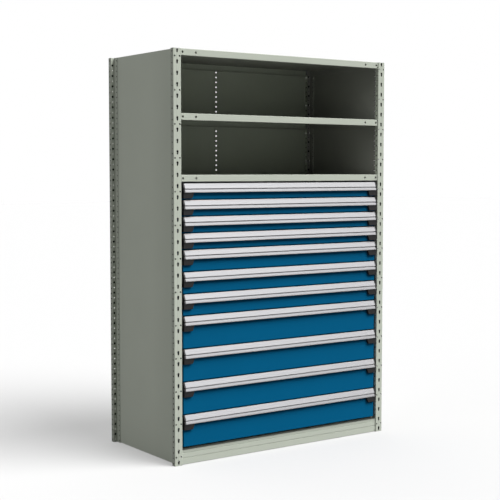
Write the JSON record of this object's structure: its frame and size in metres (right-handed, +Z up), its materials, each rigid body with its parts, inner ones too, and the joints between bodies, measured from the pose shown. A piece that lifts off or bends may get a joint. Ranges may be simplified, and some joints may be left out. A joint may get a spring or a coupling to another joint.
{
  "type": "shelving unit with drawers",
  "caption": "Tall steel shelving unit with closed sides and back, open shelf bays above a full-width stack of pull-out drawers with long aluminium handles.",
  "frame": {"origin": "on the floor, at the centre of the unit's bounding box seen from above", "axes": "+X to the right seen from the front, +Y to the back, +Z up; the drawers open towards -Y"},
  "size_m": [1.264, 0.6166, 1.905],
  "materials": {
    "post_paint": "satin light grey-green paint",
    "panel_paint": "satin light grey-green paint",
    "shelf_paint": "satin light grey-green paint",
    "drawer_paint": "satin blue paint",
    "handle_aluminium": "satin anodised extrusion",
    "cap_plastic": "black moulded plastic",
    "slide_steel": "zinc-plated steel"
  },
  "bodies": {
    "cabinet": {"post_front_left": "post_paint", "post_front_right": "post_paint", "post_rear_left": "post_paint", "post_rear_right": "post_paint", "side_panel_left": "panel_paint", "side_panel_right": "panel_paint", "back_panel_left": "panel_paint", "back_panel_right": "panel_paint", "top_shelf": "shelf_paint", "middle_shelf": "shelf_paint", "drawer_cover_shelf": "shelf_paint", "base_shelf": "shelf_paint", "shelf_clips": "slide_steel", "base_front": "shelf_paint", "slide_rails_left": "slide_steel", "slide_rails_right": "slide_steel"},
    "drawer_01": {"drawer_01_tray": "drawer_paint", "drawer_01_handle": "handle_aluminium", "drawer_01_end_caps": "cap_plastic"},
    "carriers_01": {"drawer_01_carriers": "slide_steel"},
    "drawer_02": {"drawer_02_tray": "drawer_paint", "drawer_02_handle": "handle_aluminium", "drawer_02_end_caps": "cap_plastic"},
    "carriers_02": {"drawer_02_carriers": "slide_steel"},
    "drawer_03": {"drawer_03_tray": "drawer_paint", "drawer_03_handle": "handle_aluminium", "drawer_03_end_caps": "cap_plastic"},
    "carriers_03": {"drawer_03_carriers": "slide_steel"},
    "drawer_04": {"drawer_04_tray": "drawer_paint", "drawer_04_handle": "handle_aluminium", "drawer_04_end_caps": "cap_plastic"},
    "carriers_04": {"drawer_04_carriers": "slide_steel"},
    "drawer_05": {"drawer_05_tray": "drawer_paint", "drawer_05_handle": "handle_aluminium", "drawer_05_end_caps": "cap_plastic"},
    "carriers_05": {"drawer_05_carriers": "slide_steel"},
    "drawer_06": {"drawer_06_tray": "drawer_paint", "drawer_06_handle": "handle_aluminium", "drawer_06_end_caps": "cap_plastic"},
    "carriers_06": {"drawer_06_carriers": "slide_steel"},
    "drawer_07": {"drawer_07_tray": "drawer_paint", "drawer_07_handle": "handle_aluminium", "drawer_07_end_caps": "cap_plastic"},
    "carriers_07": {"drawer_07_carriers": "slide_steel"},
    "drawer_08": {"drawer_08_tray": "drawer_paint", "drawer_08_handle": "handle_aluminium", "drawer_08_end_caps": "cap_plastic"},
    "carriers_08": {"drawer_08_carriers": "slide_steel"},
    "drawer_09": {"drawer_09_tray": "drawer_paint", "drawer_09_handle": "handle_aluminium", "drawer_09_end_caps": "cap_plastic"},
    "carriers_09": {"drawer_09_carriers": "slide_steel"},
    "drawer_10": {"drawer_10_tray": "drawer_paint", "drawer_10_handle": "handle_aluminium", "drawer_10_end_caps": "cap_plastic"},
    "carriers_10": {"drawer_10_carriers": "slide_steel"},
    "drawer_11": {"drawer_11_tray": "drawer_paint", "drawer_11_handle": "handle_aluminium", "drawer_11_end_caps": "cap_plastic"},
    "carriers_11": {"drawer_11_carriers": "slide_steel"}
  },
  "joints": [
    {"name": "drawer_01_slide", "type": "slide", "parent": "cabinet", "child": "drawer_01", "axis": [0, -1, 0], "range_m": [0, 0.52]},
    {"name": "carriers_01_slide", "type": "slide", "parent": "cabinet", "child": "carriers_01", "axis": [0, -1, 0], "range_m": [0, 0.26]},
    {"name": "drawer_02_slide", "type": "slide", "parent": "cabinet", "child": "drawer_02", "axis": [0, -1, 0], "range_m": [0, 0.52]},
    {"name": "carriers_02_slide", "type": "slide", "parent": "cabinet", "child": "carriers_02", "axis": [0, -1, 0], "range_m": [0, 0.26]},
    {"name": "drawer_03_slide", "type": "slide", "parent": "cabinet", "child": "drawer_03", "axis": [0, -1, 0], "range_m": [0, 0.52]},
    {"name": "carriers_03_slide", "type": "slide", "parent": "cabinet", "child": "carriers_03", "axis": [0, -1, 0], "range_m": [0, 0.26]},
    {"name": "drawer_04_slide", "type": "slide", "parent": "cabinet", "child": "drawer_04", "axis": [0, -1, 0], "range_m": [0, 0.52]},
    {"name": "carriers_04_slide", "type": "slide", "parent": "cabinet", "child": "carriers_04", "axis": [0, -1, 0], "range_m": [0, 0.26]},
    {"name": "drawer_05_slide", "type": "slide", "parent": "cabinet", "child": "drawer_05", "axis": [0, -1, 0], "range_m": [0, 0.52]},
    {"name": "carriers_05_slide", "type": "slide", "parent": "cabinet", "child": "carriers_05", "axis": [0, -1, 0], "range_m": [0, 0.26]},
    {"name": "drawer_06_slide", "type": "slide", "parent": "cabinet", "child": "drawer_06", "axis": [0, -1, 0], "range_m": [0, 0.52]},
    {"name": "carriers_06_slide", "type": "slide", "parent": "cabinet", "child": "carriers_06", "axis": [0, -1, 0], "range_m": [0, 0.26]},
    {"name": "drawer_07_slide", "type": "slide", "parent": "cabinet", "child": "drawer_07", "axis": [0, -1, 0], "range_m": [0, 0.52]},
    {"name": "carriers_07_slide", "type": "slide", "parent": "cabinet", "child": "carriers_07", "axis": [0, -1, 0], "range_m": [0, 0.26]},
    {"name": "drawer_08_slide", "type": "slide", "parent": "cabinet", "child": "drawer_08", "axis": [0, -1, 0], "range_m": [0, 0.52]},
    {"name": "carriers_08_slide", "type": "slide", "parent": "cabinet", "child": "carriers_08", "axis": [0, -1, 0], "range_m": [0, 0.26]},
    {"name": "drawer_09_slide", "type": "slide", "parent": "cabinet", "child": "drawer_09", "axis": [0, -1, 0], "range_m": [0, 0.52]},
    {"name": "carriers_09_slide", "type": "slide", "parent": "cabinet", "child": "carriers_09", "axis": [0, -1, 0], "range_m": [0, 0.26]},
    {"name": "drawer_10_slide", "type": "slide", "parent": "cabinet", "child": "drawer_10", "axis": [0, -1, 0], "range_m": [0, 0.52]},
    {"name": "carriers_10_slide", "type": "slide", "parent": "cabinet", "child": "carriers_10", "axis": [0, -1, 0], "range_m": [0, 0.26]},
    {"name": "drawer_11_slide", "type": "slide", "parent": "cabinet", "child": "drawer_11", "axis": [0, -1, 0], "range_m": [0, 0.52]},
    {"name": "carriers_11_slide", "type": "slide", "parent": "cabinet", "child": "carriers_11", "axis": [0, -1, 0], "range_m": [0, 0.26]}
  ],
  "couplings": [
    {"joint": "carriers_01_slide", "follows": "drawer_01_slide", "ratio": 0.5},
    {"joint": "carriers_02_slide", "follows": "drawer_02_slide", "ratio": 0.5},
    {"joint": "carriers_03_slide", "follows": "drawer_03_slide", "ratio": 0.5},
    {"joint": "carriers_04_slide", "follows": "drawer_04_slide", "ratio": 0.5},
    {"joint": "carriers_05_slide", "follows": "drawer_05_slide", "ratio": 0.5},
    {"joint": "carriers_06_slide", "follows": "drawer_06_slide", "ratio": 0.5},
    {"joint": "carriers_07_slide", "follows": "drawer_07_slide", "ratio": 0.5},
    {"joint": "carriers_08_slide", "follows": "drawer_08_slide", "ratio": 0.5},
    {"joint": "carriers_09_slide", "follows": "drawer_09_slide", "ratio": 0.5},
    {"joint": "carriers_10_slide", "follows": "drawer_10_slide", "ratio": 0.5},
    {"joint": "carriers_11_slide", "follows": "drawer_11_slide", "ratio": 0.5}
  ]
}
